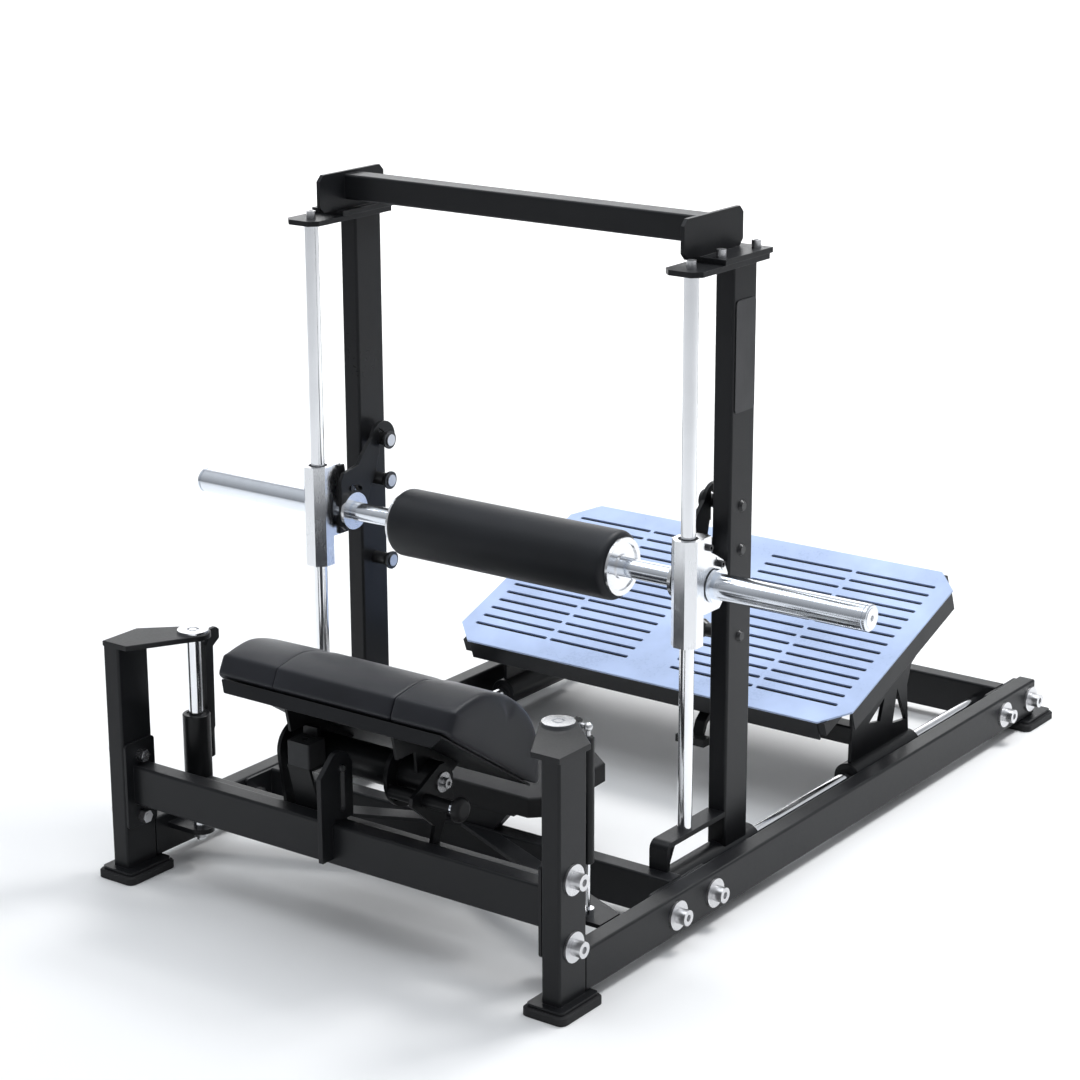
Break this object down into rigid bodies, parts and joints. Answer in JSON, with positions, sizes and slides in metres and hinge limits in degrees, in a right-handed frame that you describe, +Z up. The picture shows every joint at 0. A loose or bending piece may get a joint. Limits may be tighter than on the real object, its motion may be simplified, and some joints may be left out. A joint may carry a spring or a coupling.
{
  "type": "hip thrust machine",
  "caption": "Plate-loaded hip thrust machine: tilting back pad, roller-padded barbell on vertical guide rods with rack hooks, and a sliding sloped footplate.",
  "frame": {"origin": "centre of the footprint on the floor, halfway between the ends of the bar and between the front and rear feet", "axes": "+X sideways along the bar, +Y from the back pad toward the footplate, +Z up"},
  "size_m": [1.602, 1.895, 1.309],
  "materials": {
    "frame_paint": "satin black powder coat",
    "chrome_steel": "polished chrome plate",
    "bolt_steel": "satin turned steel",
    "dark_steel": "black oxide",
    "machined_aluminium": "fine machined",
    "bush_polymer": "self-lubricating polymer",
    "tread_paint": "silver metallic powder coat",
    "bench_vinyl": "grained black vinyl",
    "roller_vinyl": "smooth black vinyl",
    "rubber_feet": "matte moulded rubber",
    "rubber_black": "matte rubber",
    "black_plastic": "fine textured moulded plastic",
    "badge_metal": "blank brushed plate"
  },
  "bodies": {
    "frame": {"foot_pads": "rubber_feet", "front_post_right": "frame_paint", "front_post_left": "frame_paint", "bench_rod_caps": "chrome_steel", "side_rail_right": "frame_paint", "side_rail_left": "frame_paint", "rail_end_caps": "black_plastic", "front_crossbeam": "frame_paint", "middle_crossmember": "frame_paint", "rear_crossmember": "frame_paint", "seat_board": "rubber_black", "frame_bolts": "bolt_steel", "frame_nuts": "bolt_steel", "upright_right": "frame_paint", "upright_left": "frame_paint", "upright_tabs": "frame_paint", "bar_rods": "chrome_steel", "top_crossbar": "frame_paint", "upright_bolts": "dark_steel", "rack_pegs": "chrome_steel", "upright_badges": "badge_metal", "footplate_rods": "chrome_steel", "bench_rods": "chrome_steel", "lift_stop_bracket": "frame_paint", "gas_strut_rods": "chrome_steel"},
    "bench_carriage": {"bench_bearings": "frame_paint", "bench_bushes": "bush_polymer", "gas_strut_cylinders": "frame_paint", "gas_strut_ball_joints": "bolt_steel", "bench_carriage_beam": "frame_paint", "pivot_cheeks": "frame_paint", "pivot_shaft": "dark_steel", "stop_block": "rubber_black", "plunger_housing": "bolt_steel", "lift_guide_pin": "bolt_steel"},
    "plunger": {"plunger_pin": "chrome_steel", "plunger_knob": "black_plastic"},
    "bench": {"pivot_tube": "frame_paint", "index_plate": "frame_paint", "bench_pan": "frame_paint", "bench_hangers": "frame_paint", "bench_cushion": "bench_vinyl"},
    "bar_carriage": {"guide_blocks": "machined_aluminium", "guide_bushes": "bush_polymer", "hook_guide_plates": "frame_paint", "guide_block_screws": "dark_steel"},
    "bar": {"bar_shaft": "chrome_steel", "rack_hooks": "dark_steel", "bar_collars": "dark_steel"},
    "sleeve_right": {"weight_sleeve_right": "chrome_steel"},
    "sleeve_left": {"weight_sleeve_left": "chrome_steel"},
    "roller": {"roller_core": "bolt_steel", "roller_foam": "roller_vinyl", "roller_discs": "chrome_steel"},
    "footplate": {"footplate_tread": "tread_paint", "footplate_tray": "frame_paint", "footplate_bearings": "frame_paint", "footplate_brackets": "frame_paint", "footplate_bushes": "bush_polymer"},
    "lock_pedal": {"lock_pedal": "frame_paint"}
  },
  "joints": [
    {"name": "bar_lift", "type": "slide", "parent": "frame", "child": "bar_carriage", "axis": [0, 0, 1], "range_m": [0, 0.38]},
    {"name": "hook_swing", "type": "hinge", "parent": "bar_carriage", "child": "bar", "pos_m": [0, -0.344, 0.627], "axis": [1, 0, 0], "range_deg": [0, 30]},
    {"name": "sleeve_right_spin", "type": "hinge", "parent": "bar", "child": "sleeve_right", "pos_m": [0.64, -0.344, 0.627], "axis": [1, 0, 0], "continuous": true},
    {"name": "sleeve_left_spin", "type": "hinge", "parent": "bar", "child": "sleeve_left", "pos_m": [-0.64, -0.344, 0.627], "axis": [1, 0, 0], "continuous": true},
    {"name": "roller_spin", "type": "hinge", "parent": "bar", "child": "roller", "pos_m": [0, -0.344, 0.627], "axis": [1, 0, 0], "continuous": true},
    {"name": "footplate_slide", "type": "slide", "parent": "frame", "child": "footplate", "axis": [0, 1, 0], "range_m": [-0.25, 0.28]},
    {"name": "pedal_press", "type": "hinge", "parent": "footplate", "child": "lock_pedal", "pos_m": [0.146, 0.151, 0.18], "axis": [1, 0, 0], "range_deg": [0, 15], "stiffness_Nm_per_rad": 4, "springref_deg": -20.05},
    {"name": "bench_lift", "type": "slide", "parent": "frame", "child": "bench_carriage", "axis": [0, 0, 1], "range_m": [-0.06, 0], "stiffness_N_per_m": 3500, "springref_m": 0.15},
    {"name": "bench_tilt", "type": "hinge", "parent": "bench_carriage", "child": "bench", "pos_m": [0, -0.764, 0.303], "axis": [1, 0, 0], "range_deg": [-25, 0]},
    {"name": "plunger_pull", "type": "slide", "parent": "bench_carriage", "child": "plunger", "axis": [1, 0, 0], "range_m": [0, 0.012]}
  ]
}
